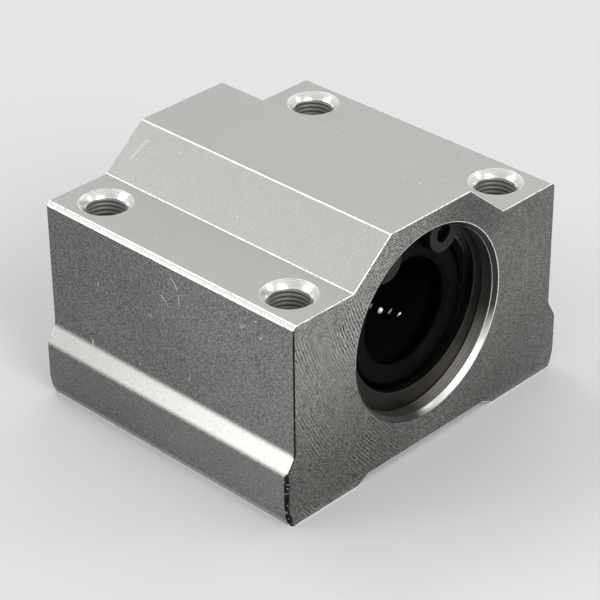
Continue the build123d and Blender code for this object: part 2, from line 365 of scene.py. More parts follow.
def make_scratch():
    """One straight scratch between two points."""
    tree, given, out = new_group(
        "Scratch",
        {"Vector": ("Vector", None), "Start": ("Vector", None), "End": ("Vector", None),
         "Width": ("Float", 0.1)},
        {"Scratch": "Float"},
    )
    run = vectors(tree, "SUBTRACT", given["End"], given["Start"])
    here = vectors(tree, "SUBTRACT", given["Vector"], given["Start"])
    along = maths(
        tree, "DIVIDE", vectors(tree, "DOT_PRODUCT", here, run, result="Value"),
        vectors(tree, "DOT_PRODUCT", run, run, result="Value"), clamp=True,
    )
    away = vectors(tree, "DISTANCE", here, scaled(tree, run, along), result="Value")
    half = maths(tree, "MULTIPLY", given["Width"], 0.5)
    core = maths(tree, "MULTIPLY", half, 0.4)
    feed(tree, out["Scratch"], remap(tree, away, core, half, 1.0, 0.0))


def make_edge_wear():
    """How near a place is to a sharp edge, broken up by the surface."""
    tree, given, out = new_group(
        "Edge wear",
        {"Vector": ("Vector", None), "Reach": ("Float", 0.0002)},
        {"Wear": "Float"},
    )
    rounded = put(tree, "ShaderNodeBevel", settings={"samples": 4}, Radius=given["Reach"])
    plain = put(tree, "ShaderNodeNewGeometry").outputs["Normal"]
    agree = vectors(tree, "DOT_PRODUCT", rounded.outputs["Normal"], plain, result="Value")
    edge = remap(tree, agree, 0.995, 0.9)
    torn = remap(tree, noise(tree, given["Vector"], 3.0, 3.0, 0.7), 0.35, 0.6)
    feed(tree, out["Wear"], maths(tree, "MULTIPLY", edge, torn))


SHARED_EFFECTS = (
    make_grain, make_cutter_arcs, make_turned_rings, make_specks, make_scratch, make_edge_wear
)


# Materials

def new_material(name, metallic, roughness=0.4):
    """A material with its tree, its shader and Object coordinates in millimetres."""
    made = bpy.data.materials.new(name)
    made.use_nodes = True
    tree = made.node_tree
    shader = tree.nodes["Principled BSDF"]
    shader.inputs["Metallic"].default_value = metallic
    shader.inputs["Roughness"].default_value = roughness
    place = put(tree, "ShaderNodeTexCoord").outputs["Object"]
    place = put(tree, "ShaderNodeMapping", place, Scale=(1000, 1000, 1000)).outputs["Vector"]
    return made, tree, shader, place


def around_one(tree, value, contrast):
    """A factor about 1 that follows a value about one half."""
    return maths(tree, "MULTIPLY_ADD", maths(tree, "SUBTRACT", value, 0.5), contrast, 1.0)


def tint(tree, shade, factor):
    """A colour made lighter or darker by a factor."""
    return mix(tree, 1.0, shade, factor, blend="MULTIPLY")


def vary(tree, shade, value, contrast):
    """A colour made lighter and darker by a value about one half."""
    return tint(tree, shade, around_one(tree, value, contrast))


def cover(tree, shade, over, mask, strength):
    """A colour with another over it where a mask says, at a strength."""
    return mix(tree, maths(tree, "MULTIPLY", mask, strength), shade, over)


def specks(tree, place, spacing, size, share):
    """Where specks of a size lie, in a share of cells that have a spacing."""
    return use(tree, "Specks", Vector=place, Spacing=spacing, Size=size, Share=share)["Specks"]


def finish(tree, shader, shade, roughness, height, depth):
    """Feed a shader its colour, roughness and relief, the relief's depth in metres."""
    feed(tree, shader.inputs["Base Color"], shade)
    feed(tree, shader.inputs["Roughness"], roughness)
    bump = put(tree, "ShaderNodeBump", Strength=1.0, Distance=depth, Height=height)
    feed(tree, shader.inputs["Normal"], bump.outputs["Normal"])


# Handling marks on the housing, in millimetres: start, end and width of each scratch
LIGHT_SCRATCHES = (
    ((-10.4, -19.8, 1.8), (-10.4, -19.8, 1.4), 0.12),
    ((0.8, -19.8, 7.0), (1.4, -19.8, 6.5), 0.12),
    ((1.4, -19.8, 6.5), (1.8, -19.8, 5.9), 0.14),
    ((-0.7, -19.8, 4.3), (-0.3, -19.8, 4.0), 0.2),
    ((-0.3, -19.8, 4.0), (0.3, -19.8, 3.5), 0.1),
    ((1.9, -19.8, 5.3), (2.0, -19.8, 4.2), 0.1),
    ((-2.8, -19.8, 1.2), (-2.2, -19.8, 1.1), 0.1),
    ((10.7, -19.8, 5.6), (10.9, -19.8, 5.4), 0.14),
    ((10.9, -19.8, 5.4), (11.3, -19.8, 5.9), 0.1),
    ((12.8, -19.8, 7.0), (12.9, -19.8, 7.0), 0.22),
    ((13.3, -19.8, 5.4), (13.5, -19.8, 5.2), 0.12),
    ((13.5, -19.8, 5.2), (13.7, -19.8, 5.6), 0.12),
    ((3.3, -19.8, -3.4), (3.0, -19.8, -4.3), 0.08),
    ((-11.8, -19.8, -5.9), (-11.8, -19.8, -6.6), 0.2),
)
SMEARS = (
    ((-16.2, -9.3, 10.2), (-15.6, -7.4, 11.8), 0.6),
)
DARK_MARKS = (
    ((-2.5, -19.8, 7.95), (-1.9, -19.8, 8.0), 0.16),
)

# Places on the housing, in millimetres: the brown fleck, the middle of the painted shade on the end
# faces, the middles of the cutter's sweeps with how wide their arcs are, and the start and end in Y
# of the chamfer on the flanges, which is painted brighter as a highlight
STAIN_PLACE = (18.0, -19.8, 7.8)
PAINTED_SHADE_PLACE = (0.0, 6.5, 11.5)
CUTTER_SWEEPS = (((0.0, -34.0, 46.0), 1.0), ((0.0, 30.0, 22.0), 1.2), ((0.0, -8.0, -70.0), 0.9))
FLANGE_CHAMFER = (19.45, 19.55)

# The way from the bore's axis to its lower right, where the bore is painted brighter as a highlight
PAINTED_LIGHT_WAY = (0.0, 0.56, -0.828)


def worst_of(tree, place, marks):
    """The strongest of several scratches."""
    found = None
    for start, end, width in marks:
        one = use(tree, "Scratch", Vector=place, Start=start, End=end, Width=width)["Scratch"]
        found = one if found is None else maths(tree, "MAXIMUM", found, one)
    return found


def extruded_aluminium(colours, sizes):
    """Blasted extrusion, smoother where it looks up and grainier upright. As painted light and
    shade, the faces that look up are painted paler than the upright ones, with painted highlights
    on the low slope and the flange chamfers.
    """
    made, tree, shader, place = new_material("Extruded aluminium", 0.9)
    grain = use(tree, "Fine grain", Vector=place, Size=sizes.grain / MM)
    level = part_of(tree, put(tree, "ShaderNodeNewGeometry").outputs["Normal"], "Z")
    # Painted light and shade: faces that look up take the paler top colour, upright faces the
    # darker side colour
    upward = remap(tree, level, 0.1, 0.45)
    nearer = remap(tree, part_of(tree, place, "X"), -18.0, 18.0)
    # Painted light: the upright faces are painted lighter towards the near end
    side = tint(tree, colours.side, maths(tree, "MULTIPLY_ADD", nearer, 0.45, 0.8))
    # Painted highlights: the low slope is painted brighter towards the near end, and the chamfers
    # of the flanges brighter too
    low_down = remap(tree, part_of(tree, place, "Z"), 0.0, 2.0, 1.0, 0.0)
    slope = maths(tree, "MULTIPLY", low_down, maths(tree, "MULTIPLY_ADD", nearer, 0.75, 0.02))
    outward = maths(tree, "ABSOLUTE", part_of(tree, place, "Y"))
    chamfer = remap(tree, outward, *FLANGE_CHAMFER, 0.0, 0.45)
    chamfer = maths(tree, "MULTIPLY", chamfer, maths(tree, "SUBTRACT", 1.0, low_down))
    lift = maths(tree, "ADD", slope, chamfer)
    top = tint(tree, colours.top, maths(tree, "ADD", lift, 1.0))
    shade = mix(tree, upward, side, top)
    contrast = remap(tree, level, 0.85, 0.99, remap(tree, upward, 0.0, 1.0, 2.9, 0.55), 0.16)
    shade = vary(tree, shade, grain["Grain"], contrast)
    cloudiness = remap(tree, upward, 0.0, 1.0, 0.35, 0.06)
    shade = vary(tree, shade, noise(tree, place, 0.12, 3.0), cloudiness)
    fleck_strength = remap(tree, level, 0.3, 0.95, 0.13, 0.03)
    wear = use(tree, "Edge wear", Vector=place, Reach=0.22 * MM)["Wear"]
    for mask, over, strength in (
        (grain["Glints"], colours.cut, remap(tree, level, 0.5, 0.99, 0.8, 0.25)),
        (specks(tree, place, 0.2, 0.11, 0.5), colours.cut, fleck_strength),
        (specks(tree, place, 2.2, 0.13, 0.3), colours.cut, 0.75),
        (worst_of(tree, place, LIGHT_SCRATCHES), colours.cut, 1.0),
        (worst_of(tree, place, DARK_MARKS), colours.corner, 1.0),
        (worst_of(tree, place, SMEARS), colours.cut, 0.25),
        (wear, colours.cut, 0.5),
    ):
        shade = cover(tree, shade, over, mask, strength)
    rough = remap(tree, grain["Grain"], 0.0, 1.0, 0.5, 0.36)
    finish(tree, shader, shade, rough, grain["Grain"], 0.012 * MM)
    return made


def milled_aluminium(colours, sizes):
    """Milled end face: crossing arcs of the cutter, with torn grain between them."""
    made, tree, shader, place = new_material("Milled aluminium", 0.9)
    pitch = sizes.milling_pitch / MM
    sweeps = [
        use(tree, "Cutter arcs", Vector=place, Middle=middle, Pitch=pitch * wide, Waver=0.3)["Arcs"]
        for middle, wide in CUTTER_SWEEPS
    ]
    patches = remap(tree, noise(tree, place, 0.16, 2.0), 0.4, 0.6)
    shifted = vectors(tree, "ADD", place, (31.0, 7.0, 13.0))
    others = remap(tree, noise(tree, shifted, 0.2, 2.0), 0.42, 0.58)
    across = part_of(tree, place, "Y")
    leftward = remap(tree, across, 8.0, -16.0, 0.2, 1.0)
    arcs = mix(tree, 0.35, mix(tree, patches, sweeps[0], sweeps[1]), sweeps[2])
    arcs = cover(tree, arcs, sweeps[2], others, 0.6)
    grain = use(tree, "Fine grain", Vector=place, Size=sizes.grain * 1.9 / MM)
    relief = maths(tree, "MULTIPLY", maths(tree, "SUBTRACT", arcs, 0.5),
                   maths(tree, "MULTIPLY", leftward, 0.7))
    relief = maths(tree, "ADD", relief, grain["Grain"])
    shade = vary(tree, colours.end, relief, remap(tree, across, -4.0, 9.0, 2.7, 1.7))
    shade = vary(tree, shade, noise(tree, place, 0.1, 3.0), 0.5)
    shade = vary(tree, shade, noise(tree, place, 1.4, 2.0), 0.7)
    height = remap(tree, part_of(tree, place, "Z"), -11.0, 3.0, -0.3, 0.3)
    shade = tint(tree, shade, maths(tree, "MULTIPLY_ADD", height, leftward, 1.0))
    shade = tint(tree, shade, remap(tree, across, -6.0, 12.0, 1.0, 0.75))
    # Painted shade: the end faces are painted darker about a place above the bore
    flat = vectors(tree, "MULTIPLY", place, (0.0, 1.0, 1.0))
    painted_shade_reach = vectors(tree, "DISTANCE", flat, PAINTED_SHADE_PLACE, result="Value")
    shade = tint(tree, shade, remap(tree, painted_shade_reach, 2.5, 8.5, 0.62, 1.0))
    shade = cover(tree, shade, colours.cut, grain["Glints"], 0.6)
    shade = cover(tree, shade, colours.cut, specks(tree, place, 2.2, 0.12, 0.2), 0.5)
    rough = remap(tree, relief, 0.0, 1.0, 0.46, 0.34)
    finish(tree, shader, shade, rough, relief, 0.014 * MM)
    return made


def turned_metal(name, shade, pitch, axis, metallic, roughness, contrast, depth, painted_light=None):
    """Metal cut by a turning tool, with rings along one axis. Where the bore faces the lower
    right it can be painted brighter as a highlight, and darker elsewhere as painted shade, given as
    both factors."""
    made, tree, shader, place = new_material(name, metallic)
    rings = use(tree, "Turned rings", Along=part_of(tree, place, axis), Pitch=pitch)["Rings"]
    shade = vary(tree, shade, rings, contrast)
    shade = vary(tree, shade, noise(tree, place, 0.7, 3.0, 0.6), contrast)
    if painted_light:
        # Painted light: brighter where the bore faces the lower right as a painted highlight,
        # darker elsewhere as painted shade
        reach = vectors(tree, "DOT_PRODUCT", place, PAINTED_LIGHT_WAY, result="Value")
        shade = tint(tree, shade, remap(tree, reach, 7.8, 11.0, *painted_light))
    rough = remap(tree, rings, 0.0, 1.0, roughness + 0.06, roughness - 0.06)
    finish(tree, shader, shade, rough, rings, depth)
    return made


def worn_metal(name, shade, worn, metallic, roughness, grain_size, reach, dented=0.0):
    """Treated steel, a broken edge or a painted highlight line, with the bare metal showing where
    it has worn.
    """
    made, tree, shader, place = new_material(name, metallic)
    grain = use(tree, "Fine grain", Vector=place, Size=grain_size)
    base = vary(tree, shade, grain["Grain"], 0.4)
    base = vary(tree, base, noise(tree, place, 0.35, 3.0), 0.5)
    wear = use(tree, "Edge wear", Vector=place, Reach=reach)["Wear"]
    bare = maths(tree, "MAXIMUM", maths(tree, "MULTIPLY", wear, 0.55),
                 maths(tree, "MULTIPLY", specks(tree, place, 0.9, 0.12, 0.2), 0.35))
    base = mix(tree, bare, base, worn)
    dents = remap(tree, noise(tree, place, 1.4, 4.0, 0.75), 0.5, 0.62)
    base = vary(tree, base, dents, -dented)
    rough = remap(tree, grain["Grain"], 0.0, 1.0, roughness + 0.08, roughness - 0.08)
    finish(tree, shader, base, rough, grain["Grain"], 0.006 * MM)
    return made


def painted_dark_corner(colours):
    """Upright edges painted black as shade, with the bare metal showing in teeth along them."""
    made, tree, shader, place = new_material("Dark corner", 0.3)
    stretched = vectors(tree, "MULTIPLY", place, (1.0, 1.0, 1.6))
    teeth = remap(tree, noise(tree, stretched, 2.0, 4.0, 0.7), 0.59, 0.65)
    flecks = specks(tree, place, 0.7, 0.12, 0.06)
    bare = maths(tree, "MULTIPLY", maths(tree, "MAXIMUM", teeth, flecks), 0.65)
    shade = mix(tree, bare, colours.corner, colours.cut)
    spot = vectors(tree, "DISTANCE", place, STAIN_PLACE, result="Value")
    shade = mix(tree, remap(tree, spot, 0.3, 0.5, 1.0, 0.0), shade, colours.stain)
    rough = remap(tree, teeth, 0.0, 1.0, 0.6, 0.35)
    finish(tree, shader, shade, rough, bare, 0.02 * MM)
    shader.inputs["Specular IOR Level"].default_value = 0.1
    return made


DUST_COLOUR = (0.5, 0.5, 0.5)


def black_moulding(name, shade, roughness, grain_size):
    """Moulded rubber or resin with a fine skin and a little dust."""
    made, tree, shader, place = new_material(name, 0.0)
    grain = use(tree, "Fine grain", Vector=place, Size=grain_size)
    base = vary(tree, shade, grain["Grain"], 0.5)
    base = cover(tree, base, DUST_COLOUR, specks(tree, place, 1.6, 0.1, 0.3), 0.12)
    cloud = noise(tree, place, 0.6, 3.0)
    rough = remap(tree, cloud, 0.3, 0.7, roughness - 0.07, roughness + 0.09)
    finish(tree, shader, base, rough, grain["Grain"], 0.004 * MM)
    shader.inputs["Specular IOR Level"].default_value = 0.04
    return made


def polished_steel(colours):
    """Bearing balls: near mirrors with the faintest cloud in them."""
    made, tree, shader, place = new_material("Polished steel", 1.0)
    cloud = noise(tree, place, 1.2, 3.0)
    shade = vary(tree, colours.ball, cloud, 0.12)
    rough = remap(tree, cloud, 0.3, 0.7, 0.06, 0.14)
    finish(tree, shader, shade, rough, cloud, 0.001 * MM)
    return made


# Meshes

def new_piece(name, mesh):
    """An object at the origin for a mesh."""
    piece = bpy.data.objects.new(name, mesh)
    bpy.context.scene.collection.objects.link(piece)
    return piece


def settle(piece):
    """Turn what the modifiers make into the piece's own plain mesh."""
    graph = bpy.context.evaluated_depsgraph_get()
    mesh = bpy.data.meshes.new_from_object(piece.evaluated_get(graph))
    mesh.name = piece.name
    piece.modifiers.clear()
    piece.data = mesh


def merged_copy(node):
    """A copy of a CAD node's mesh, merged, with its flat triangles joined to faces."""
    work = bmesh.new()
    work.from_mesh(frame["nodes"][node].data)
    bmesh.ops.remove_doubles(work, verts=work.verts, dist=MERGE_DISTANCE)
    bmesh.ops.dissolve_limit(
        work, angle_limit=radians(0.5), verts=work.verts, edges=work.edges
    )
    return work


def to_mesh(work, name):
    """Write a bmesh to a new mesh with smooth faces."""
    mesh = bpy.data.meshes.new(name)
    for face in work.faces:
        face.smooth = True
    work.to_mesh(mesh)
    work.free()
    return mesh


def break_edges(piece, width, material=-1, sharpest=radians(38)):
    """Round the weighted edges, then keep the flat faces flat in the shading."""
    bevel = piece.modifiers.new("Broken edges", "BEVEL")
    bevel.limit_method = "WEIGHT"
    bevel.width = width
    bevel.segments = 2
    bevel.material = material
    bevel.use_clamp_overlap = False
    settle(piece)
    piece.data.set_sharp_from_angle(angle=sharpest)
    weighted = piece.modifiers.new("Flat faces", "WEIGHTED_NORMAL")
    weighted.keep_sharp = True
    settle(piece)


def keep_inside(piece, low, high):
    """Bring back what the rounding of the filed corner pushes past the block."""
    for vert in piece.data.vertices:
        vert.co = [min(max(*pair), top) for *pair, top in zip(vert.co, low, high)]


def weigh_edges(work, weight_of, sharpest=radians(25)):
    """Give each sharp edge the share of the bevel width that a rule says."""
    layer = work.edges.layers.float.new("bevel_weight_edge")
    for edge in work.edges:
        if edge.is_manifold and edge.calc_face_angle() > sharpest:
            edge[layer] = weight_of(edge)


def stand_for(piece, node, body):
    """Let a finished piece take the place of a CAD node."""
    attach(piece, body)
    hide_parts(node)


def bolt_hole_centres():
    """Middles of the four bolt holes, seen from above."""
    half_x = BOLTS["spacing_x_mm"] / 2 * MM
    half_y = BOLTS["spacing_y_mm"] / 2 * MM
    return [Vector((x, y)) for x in (-half_x, half_x) for y in (-half_y, half_y)]


def widen_bolt_holes(work, diameter):
    """Swap the plain wall of each bolt hole for a wider one that the tapped lining fills."""
    reach = HOLE_RADIUS * 1.02
    for centre in bolt_hole_centres():
        walls = [
            face for face in work.faces
            if abs(face.normal.z) < 0.1
            and all((vert.co.xy - centre).length < reach for vert in face.verts)
        ]
        inside = set(walls)
        rims = [
            edge for edge in dict.fromkeys(edge for face in walls for edge in face.edges)
            if any(face not in inside for face in edge.link_faces)
        ]
        bmesh.ops.delete(work, geom=walls, context="FACES")
        shelf = bmesh.ops.extrude_edge_only(work, edges=rims)["geom"]
        for vert in (part for part in shelf if isinstance(part, bmesh.types.BMVert)):
            vert.co.xy = centre + (vert.co.xy - centre).normalized() * diameter / 2
        edges = [
            part for part in shelf
            if isinstance(part, bmesh.types.BMEdge) and part.is_boundary
        ]
        bmesh.ops.bridge_loops(work, edges=edges)
    bmesh.ops.recalc_face_normals(work, faces=work.faces)


def file_corner(work, width):
    """File off the upright corner of the near foot, and a little more where it meets the base."""
    corner = Vector((HOUSING_HIGH.x, HOUSING_LOW.y, HOUSING_LOW.z))
    cuts = (((1, -1, 0), width), ((1, -1, -0.35), width + 0.7 * MM))
    for normal, depth in cuts:
        found = bmesh.ops.bisect_plane(
            work, geom=work.verts[:] + work.edges[:] + work.faces[:], clear_outer=True,
            plane_co=corner - Vector((depth, 0, 0)), plane_no=normal,
        )["geom_cut"]
        rim = [part for part in found if isinstance(part, bmesh.types.BMEdge)]
        bmesh.ops.edgeloop_fill(work, edges=rim)


def at_corner(place):
    """Whether a place lies at an upright outer corner of the housing."""
    return abs(place.x) > HOUSING_HIGH.x * 0.95 and abs(place.y) > HOUSING_HIGH.y * 0.9


def at_bolt_hole(*places):
    """Whether all of these places lie within one countersink."""
    return any(
        all((place.xy - centre).length < COUNTERSINK_REACH for place in places)
        for centre in bolt_hole_centres()
    )


def housing_finish(face):
    """Which finish a face of the housing has, by where it lies."""
    normal, middle = face.normal, face.calc_center_median()
    if abs(normal.x) > 0.99 and abs(middle.x) > HOUSING_HIGH.x - END_DEPTH:
        return MILLED_END
    if max(vert.co.yz.length for vert in face.verts) < BORE_REACH:
        at_mouth = abs(middle.x) > HOUSING_HIGH.x - MOUTH_DEPTH
        return BORE_MOUTH if at_mouth and abs(normal.x) > 0.3 else BORED_SEAT
    if at_bolt_hole(*(vert.co for vert in face.verts)):
        return COUNTERSINK
    # Painted shade: the end chamfers of the feet take the black corner finish
    if abs(normal.x) > 0.3 and abs(normal.y) > 0.3 and abs(middle.y) > HOUSING_HIGH.y * 0.8:
        return PAINTED_DARK_CORNER
    # Painted highlight: the rounded strips along the hump take a brighter finish
    if abs(normal.x) < 0.01 and 0.79 < normal.z < 0.985 and middle.z > 8 * MM:
        return PAINTED_HIGHLIGHT_LINE
    return EXTRUDED


def broken_finish(face):
    """Which finish a broken edge has: painted black as shade at the corners, the bore mouth's
    finish with its painted highlight low in the mouth of the front bore, and bare elsewhere."""
    middle, normal = face.center, face.normal
    # Painted shade: the broken upright corners are painted black
    if at_corner(middle) and abs(normal.z) < 0.35 and abs(normal.x) > 0.2:
        return PAINTED_DARK_CORNER
    if middle.x > 0 and middle.yz.length < BORE_REACH and middle.z < min(0, -1.19 * middle.y):
        return BORE_MOUTH
    return BROKEN_EDGE


def break_width(edge, sizes):
    """How wide an edge of the housing is broken, by where it lies."""
    start, end = (vert.co for vert in edge.verts)
    middle = (start + end) / 2
    if middle.yz.length < BORE_REACH:
        return sizes.seat_break
    if at_bolt_hole(middle):
        return sizes.hole_break
    upright = abs(start.z - end.z) > 0.3 * edge.calc_length()
    return sizes.corner_break if upright and at_corner(middle) else sizes.edge_break


# Geometry node trees

ROWS_PER_TURN = 4


def make_tapped_lining():
    """A tube on each point of the mesh, with a screw thread cut in its inner wall. The rows of
    faces follow the helix, four to a turn of the thread, and stop level at both ends."""
    tree, given, out = new_group(
        "Tapped lining",
        {"Geometry": ("Geometry", None), "Crest Radius": ("Float", 0.0021),
         "Root Radius": ("Float", 0.0024), "End Radius": ("Float", 0.0021),
         "Wall Radius": ("Float", 0.0026), "Pitch": ("Float", 0.0008),
         "Bottom": ("Float", -0.01), "Top": ("Float", 0.01), "Rows": ("Int", 100),
         "Segments": ("Int", 40), "Material": ("Material", None)},
        {"Geometry": "Geometry"},
        kind="GeometryNodeTree",
    )
    grid = put(tree, "GeometryNodeMeshGrid", 1.0, 1.0, given["Segments"], given["Rows"])
    where = put(tree, "GeometryNodeInputPosition").outputs[0]
    last_row = maths(tree, "SUBTRACT", given["Rows"], 1.0)
    turn = maths(tree, "ADD", part_of(tree, where, "X"), 0.5)
    row = maths(tree, "MULTIPLY", maths(tree, "ADD", part_of(tree, where, "Y"), 0.5), last_row)
    row = maths(tree, "ROUND", row)
    step = maths(tree, "SUBTRACT", row, 1.0)
    climb = maths(tree, "ADD", maths(tree, "DIVIDE", step, ROWS_PER_TURN),
                  maths(tree, "SUBTRACT", turn, 1.0))
    free = maths(tree, "MULTIPLY_ADD", climb, given["Pitch"], given["Bottom"])
    level = maths(tree, "MINIMUM", maths(tree, "MAXIMUM", free, given["Bottom"]), given["Top"])
    in_turn = maths(tree, "FLOORED_MODULO", step, ROWS_PER_TURN)
    on_crest = maths(tree, "LESS_THAN", in_turn, 1.5)
    radius = choose(tree, on_crest, given["Root Radius"], given["Crest Radius"])
    moved = maths(tree, "ABSOLUTE", maths(tree, "SUBTRACT", free, level))
    past_end = maths(tree, "GREATER_THAN", moved, 0.0)
    radius = choose(tree, past_end, radius, given["End Radius"])
    at_foot = maths(tree, "MAXIMUM", maths(tree, "LESS_THAN", row, 0.5),
                    maths(tree, "GREATER_THAN", row, maths(tree, "SUBTRACT", last_row, 0.5)))
    on_wall = maths(tree, "MAXIMUM", at_foot,
                    maths(tree, "GREATER_THAN", row, maths(tree, "SUBTRACT", last_row, 1.5)))
    radius = choose(tree, on_wall, radius, given["Wall Radius"])
    level = choose(tree, on_wall, level, given["Top"])
    level = choose(tree, at_foot, level, given["Bottom"])
    angle = maths(tree, "MULTIPLY", turn, tau)
    position = put(
        tree, "ShaderNodeCombineXYZ", maths(tree, "MULTIPLY", radius, maths(tree, "COSINE", angle)),
        maths(tree, "MULTIPLY", radius, maths(tree, "SINE", angle)), level,
    ).outputs[0]
    tube = put(tree, "GeometryNodeSetPosition", Geometry=grid.outputs["Mesh"], Position=position)
    closed = put(
        tree, "GeometryNodeMergeByDistance", Geometry=tube.outputs[0], Distance=MERGE_DISTANCE
    )
    placed = put(
        tree, "GeometryNodeInstanceOnPoints", Points=given["Geometry"], Instance=closed.outputs[0]
    )
    real = put(tree, "GeometryNodeRealizeInstances", placed.outputs[0])
    painted = put(
        tree, "GeometryNodeSetMaterial", Geometry=real.outputs[0], Material=given["Material"]
    )
    feed(tree, out["Geometry"], painted.outputs[0])
    return tree


def choose(tree, when, otherwise, chosen):
    """One number or another, in a geometry tree."""
    settings = {"input_type": "FLOAT"}
    return put(tree, "GeometryNodeSwitch", when, otherwise, chosen, settings=settings).outputs[0]


def make_ball_train():
    """Balls one behind the other, in a straight row by a step or round a middle by an angle."""
    tree, given, out = new_group(
        "Ball train",
        {"Geometry": ("Geometry", None), "Balls": ("Int", 6), "Radius": ("Float", 0.0012),
         "First": ("Vector", None), "Step": ("Vector", None), "Middle": ("Vector", None),
         "Axis": ("Vector", None), "Turn": ("Float", 0.0), "Segments": ("Int", 32),
         "Material": ("Material", None)},
        {"Geometry": "Geometry"},
        kind="GeometryNodeTree",
    )
    points = put(tree, "GeometryNodePoints", given["Balls"]).outputs[0]
    count = put(tree, "GeometryNodeInputIndex").outputs[0]
    spun = put(
        tree, "ShaderNodeVectorRotate", Vector=given["First"], Center=given["Middle"],
        Axis=given["Axis"], Angle=maths(tree, "MULTIPLY", count, given["Turn"]),
    ).outputs[0]
    place = vectors(tree, "ADD", spun, scaled(tree, given["Step"], count))
    points = put(tree, "GeometryNodeSetPosition", Geometry=points, Position=place).outputs[0]
    rings = maths(tree, "DIVIDE", given["Segments"], 2.0)
    ball = put(tree, "GeometryNodeMeshUVSphere", given["Segments"], rings, given["Radius"])
    placed = put(
        tree, "GeometryNodeInstanceOnPoints", Points=points, Instance=ball.outputs["Mesh"]
    )
    real = put(tree, "GeometryNodeRealizeInstances", placed.outputs[0])
    smooth = put(tree, "GeometryNodeSetShadeSmooth", Geometry=real.outputs[0])
    painted = put(
        tree, "GeometryNodeSetMaterial", Geometry=smooth.outputs[0], Material=given["Material"]
    )
    feed(tree, out["Geometry"], painted.outputs[0])
    return tree


def grow(name, tree, points=(), **values):
    """Make a piece with a geometry tree on a few points, its inputs set by identifier."""
    mesh = bpy.data.meshes.new(name)
    mesh.from_pydata([tuple(point) for point in points], [], [])
    piece = new_piece(name, mesh)
    modifier = piece.modifiers.new(tree.name, "NODES")
    modifier.node_group = tree
    identifiers = {
        item.name: item.identifier for item in tree.interface.items_tree
        if item.item_type == "SOCKET" and item.in_out == "INPUT"
    }
    for label, value in values.items():
        modifier[identifiers[label.replace("_", " ")]] = value
    settle(piece)
    return piece


# Operators, one for each piece or group of like pieces

class BLOCK_OT_effects(bpy.types.Operator):
    """Build the shared surface effects"""

    bl_idname = "bearing_block.effects"
    bl_label = "Surface effects"

    def execute(self, context):
        for make in SHARED_EFFECTS:
            make()
        return {"FINISHED"}


class BLOCK_OT_housing(bpy.types.Operator):
    """Dress the extruded housing, with its broken edges and a finish for each kind of face"""

    bl_idname = "bearing_block.housing"
    bl_label = "Housing"

    def execute(self, context):
        sizes, colours = context.scene.block_sizes, context.scene.block_colours
        work = merged_copy("housing")
        widen_bolt_holes(work, sizes.lining_diameter)
        file_corner(work, sizes.foot_break)
        for face in work.faces:
            face.material_index = housing_finish(face)
        weigh_edges(work, lambda edge: break_width(edge, sizes) / sizes.corner_break)
        piece = new_piece("housing_skin", to_mesh(work, "housing_skin"))
        rings = sizes.turning_pitch / MM
        for made in (
            extruded_aluminium(colours, sizes),
            milled_aluminium(colours, sizes),
            # The seat and mouth carry painted light: a painted highlight at the lower right, and
            # painted shade on the rest of the mouth
            turned_metal("Bored seat", colours.seat, rings, "X", metallic=0.72, roughness=0.34,
                         contrast=0.55, depth=0.004 * MM, painted_light=(0.85, 5.0)),
            turned_metal("Bore mouth", colours.mouth, rings, "X", metallic=1.0, roughness=0.26,
                         contrast=0.12, depth=0.003 * MM, painted_light=(0.13, 2.3)),
            turned_metal("Countersink", colours.cut, rings, "Z", metallic=1.0, roughness=0.24,
                         contrast=0.45, depth=0.004 * MM),
            worn_metal("Broken edge", colours.cut, colours.cut, metallic=1.0, roughness=0.36,
                       grain_size=0.15, reach=0.1 * MM, dented=0.7),
            # Painted shade at the upright corners
            painted_dark_corner(colours),
            # Painted highlight along the rounded strips of the hump
            worn_metal("Drawn line", colours.painted_highlight, colours.cut, metallic=1.0, roughness=0.32,
                       grain_size=0.3, reach=0.1 * MM),
        ):
            piece.data.materials.append(made)
        break_edges(piece, sizes.corner_break, material=BROKEN_EDGE)
        keep_inside(piece, HOUSING_LOW, HOUSING_HIGH)
        for face in piece.data.polygons:
            if face.material_index == BROKEN_EDGE:
                face.material_index = broken_finish(face)
        stand_for(piece, "housing", BODY_OF["housing"])
        return {"FINISHED"}


class BLOCK_OT_threads(bpy.types.Operator):
    """Cut the threads of the four bolt holes"""

    bl_idname = "bearing_block.threads"
    bl_label = "Tapped holes"

    def execute(self, context):
        sizes, colours = context.scene.block_sizes, context.scene.block_colours
        top = BOLT_MOUNT["pos_m"][2] - CLEARANCE
        bottom = HOUSING_LOW.z + COUNTERSINK_DEPTH + CLEARANCE
        turns = (top - bottom) / sizes.thread_pitch + 1
        piece = grow(
            "tapped_lining", make_tapped_lining(),
            [(*centre, 0.0) for centre in bolt_hole_centres()],
            Crest_Radius=sizes.thread_crest / 2, Root_Radius=sizes.thread_root / 2,
            End_Radius=HOLE_RADIUS, Wall_Radius=sizes.lining_diameter / 2 - CLEARANCE,
            Pitch=sizes.thread_pitch, Bottom=bottom, Top=top,
            Rows=ROWS_PER_TURN * (ceil(turns) + 1), Segments=41,
            Material=turned_metal("Tapped thread", colours.thread, 0.3, "Z", metallic=0.9,
                                  roughness=0.55, contrast=0.25, depth=0.003 * MM),
        )
        work = bmesh.new()
        work.from_mesh(piece.data)
        # The seam of each tube is left open by a sliver at its foot
        bmesh.ops.holes_fill(work, edges=[edge for edge in work.edges if edge.is_boundary])
        bmesh.ops.dissolve_degenerate(work, dist=0.001 * MM, edges=work.edges)
        bmesh.ops.recalc_face_normals(work, faces=work.faces)
        for face in work.faces:
            face.smooth = True
        work.to_mesh(piece.data)
        work.free()
        piece.data.set_sharp_from_angle(angle=radians(35))
        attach(piece, BODY_OF["housing"])
        return {"FINISHED"}


